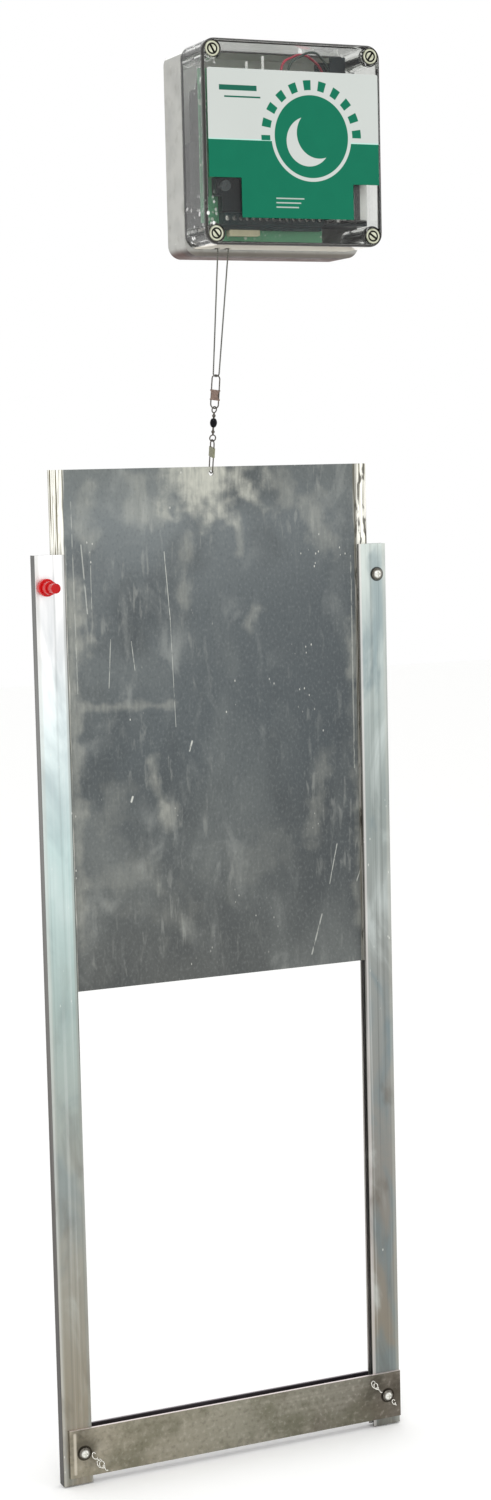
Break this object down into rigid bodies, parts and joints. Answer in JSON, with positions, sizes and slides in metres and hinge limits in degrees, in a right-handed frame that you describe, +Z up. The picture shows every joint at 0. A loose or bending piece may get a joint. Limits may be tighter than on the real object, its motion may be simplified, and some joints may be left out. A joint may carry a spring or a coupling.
{
  "type": "automatic coop door",
  "caption": "Vertical sliding coop door in two aluminium channels, raised and lowered on a doubled cord by a clear-lidded winder box above it.",
  "frame": {"origin": "the point on the wall plane at the bottom of the rails, midway between them", "axes": "+X to the right seen from the front, +Y into the wall, +Z up"},
  "size_m": [0.244, 0.0773, 0.9095],
  "materials": {
    "mill_aluminium": "mill finish with fine drawn lines",
    "bright_steel": "bright zinc plate",
    "red_plastic": "glossy moulded",
    "door_sheet": "dull grey, worn bright at both edges",
    "fitting_wire": "dull nickel",
    "fitting_sleeve": "brown oxide",
    "black_nickel": "polished black",
    "cord": "fine braid",
    "drum_plastic": "matt moulded",
    "gearbox_metal": "die-cast, matt",
    "box_grey": "fine moulded grain",
    "gasket_rubber": "matt",
    "clear_lid": "clear polycarbonate, smooth",
    "ivory_plastic": "satin moulded",
    "label_film": "printed film",
    "board_green": "solder mask",
    "brass_pillar": "turned",
    "black_plastic": "moulded",
    "knob_plastic": "moulded",
    "milky_lamp": "milky",
    "blue_plastic": "moulded",
    "beige_ceramic": "unglazed",
    "cell_wrap": "printed wrap",
    "red_wire": "insulation",
    "green_wire": "insulation"
  },
  "bodies": {
    "wall_frame": {"rail_left": "mill_aluminium", "rail_right": "mill_aluminium", "bottom_bar": "mill_aluminium", "bar_screws": "bright_steel", "rail_screws": "bright_steel", "red_screw_cap": "red_plastic", "lift_cord": "cord", "cord_inside": "cord", "gearbox": "gearbox_metal", "gear_motor": "bright_steel", "motor_bracket": "bright_steel", "bracket_screws": "bright_steel", "cord_anchor": "bright_steel", "box_base": "box_grey", "box_gasket": "gasket_rubber", "circuit_board": "board_green", "board_standoffs": "brass_pillar", "board_screws": "bright_steel", "terminal_block": "black_plastic", "terminal_screws": "bright_steel", "control_module": "black_plastic", "button_switch": "black_plastic", "status_leds": "milky_lamp", "light_sensor": "clear_lid", "battery_plug": "blue_plastic", "power_resistor": "beige_ceramic", "capacitor": "black_plastic", "controller_chip": "black_plastic", "battery_holder": "black_plastic", "battery_cells": "cell_wrap", "wire_red": "red_wire", "wire_black": "black_plastic", "motor_wire_green": "green_wire", "motor_wire_red": "red_wire"},
    "door": {"door_plate": "door_sheet", "lower_snap_wire": "fitting_wire", "lower_snap_sleeve": "fitting_sleeve", "swivel_lower_eye": "fitting_wire"},
    "swivel": {"swivel_barrel": "black_nickel"},
    "upper_hook": {"swivel_upper_eye": "fitting_wire", "upper_snap_wire": "fitting_wire", "upper_snap_sleeve": "fitting_sleeve"},
    "drum": {"cord_drum": "drum_plastic", "output_shaft": "bright_steel", "cord_windings": "cord"},
    "lid": {"box_lid": "clear_lid", "lid_screws": "ivory_plastic", "label_card": "label_film"},
    "knob": {"trimmer_knob": "knob_plastic"},
    "button": {"push_button": "knob_plastic"}
  },
  "joints": [
    {"name": "door_slide", "type": "slide", "parent": "wall_frame", "child": "door", "axis": [0, 0, 1], "range_m": [-0.298, 0], "deforming": ["lift_cord"]},
    {"name": "drum_turn", "type": "hinge", "parent": "wall_frame", "child": "drum", "pos_m": [-0.00015, -0.038, 0.8218], "axis": [0, 1, 0], "range_deg": [-6211, 2]},
    {"name": "swivel_turn", "type": "hinge", "parent": "door", "child": "swivel", "pos_m": [0, -0.004, 0.6485], "axis": [-0.0179, -0.2392, 0.9708], "continuous": true},
    {"name": "upper_hook_turn", "type": "hinge", "parent": "door", "child": "upper_hook", "pos_m": [0, -0.004, 0.6485], "axis": [-0.0179, -0.2392, 0.9708], "range_deg": [-60, 60]},
    {"name": "lid_pull", "type": "slide", "parent": "wall_frame", "child": "lid", "axis": [0, -1, 0], "range_m": [0, 0.06]},
    {"name": "trimmer_turn", "type": "hinge", "parent": "wall_frame", "child": "knob", "pos_m": [-0.0065, -0.051, 0.8228], "axis": [0, -1, 0], "range_deg": [-135, 135]},
    {"name": "button_press", "type": "slide", "parent": "wall_frame", "child": "button", "axis": [0, 1, 0], "range_m": [0, 0.0006], "stiffness_N_per_m": 800, "springref_m": -0.001}
  ],
  "couplings": [
    {"joint": "drum_turn", "follows": "door_slide", "rad_per_m": 363.64}
  ]
}
